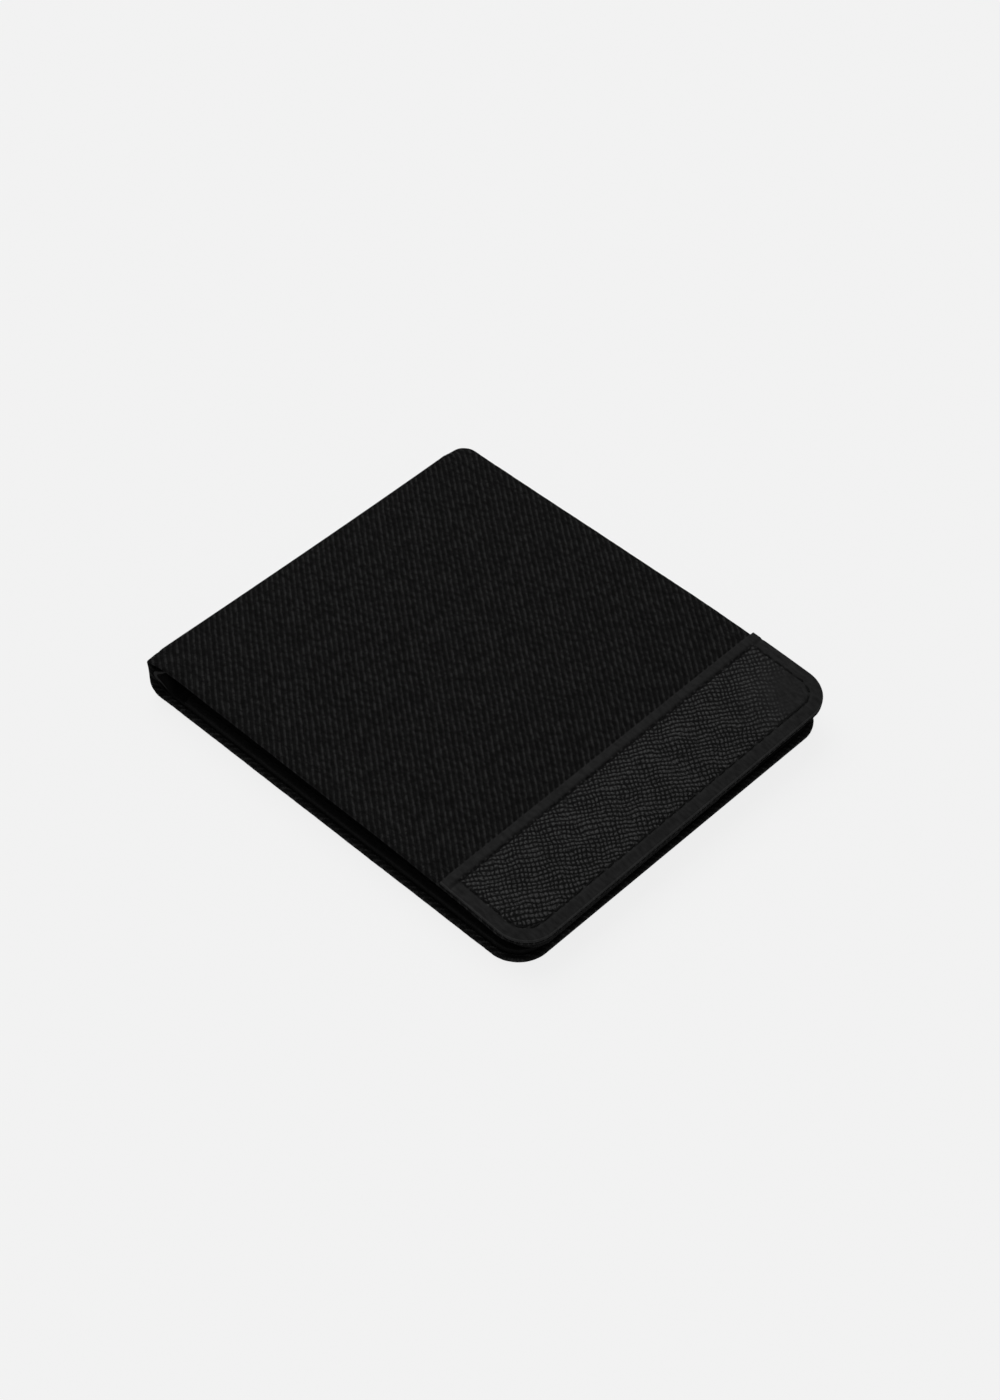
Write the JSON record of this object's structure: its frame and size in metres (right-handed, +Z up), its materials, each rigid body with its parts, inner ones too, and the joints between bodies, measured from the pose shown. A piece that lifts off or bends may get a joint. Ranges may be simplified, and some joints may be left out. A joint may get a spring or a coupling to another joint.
{
  "type": "bifold wallet",
  "caption": "Slim bifold wallet in woven twill with a textured leather end band, note compartment, card slots and slip pockets, shown folded shut.",
  "frame": {"origin": "middle of the underside of the shut wallet, on the surface it lies on", "axes": "+X from the fold to the free edge, +Y along the fold from the sewn bottom edge to the mouth of the note compartment, +Z up through the thickness"},
  "size_m": [0.11, 0.093, 0.0099],
  "materials": {
    "black_twill": "matt black diagonal twill weave",
    "band_leather": "black leather embossed with a fine crosshatch grain, low sheen",
    "pocket_leather": "thin smooth black leather, low sheen",
    "black_lining": "fine black woven lining, satin",
    "stiffener_board": "grey-brown fibre board, hidden inside the covers",
    "black_thread": "black polyester sewing thread"
  },
  "bodies": {
    "back": {"back_card_slot_bottom": "pocket_leather", "back_card_slot_middle": "pocket_leather", "back_card_slot_top": "pocket_leather", "back_cover_lining": "black_lining", "back_cover_twill": "black_twill", "back_edge_thread": "black_thread", "back_note_wall": "black_lining", "back_slip_panel": "pocket_leather", "back_stiffener_board": "stiffener_board"},
    "spine": {"spine_bridge": "pocket_leather", "spine_lining": "black_lining", "spine_twill": "black_twill"},
    "front": {"front_band_edge_thread": "black_thread", "front_band_seam_thread": "black_thread", "front_bottom_hem_thread": "black_thread", "front_card_slot_bottom": "pocket_leather", "front_card_slot_middle": "pocket_leather", "front_card_slot_top": "pocket_leather", "front_cover_lining": "black_lining", "front_cover_twill": "black_twill", "front_end_band": "band_leather", "front_note_wall": "black_lining", "front_slip_panel": "pocket_leather", "front_stiffener_board": "stiffener_board", "front_top_hem_thread": "black_thread"}
  },
  "joints": [
    {"name": "spine_fold", "type": "hinge", "parent": "back", "child": "spine", "pos_m": [-0.0546, 0, 0.0004], "axis": [0, -1, 0], "range_deg": [0, 89.7]},
    {"name": "cover_fold", "type": "hinge", "parent": "spine", "child": "front", "pos_m": [-0.0546, 0, 0.0088], "axis": [0, -1, 0], "range_deg": [0, 89.7]}
  ],
  "couplings": [
    {"joint": "spine_fold", "follows": "cover_fold", "ratio": 1}
  ]
}
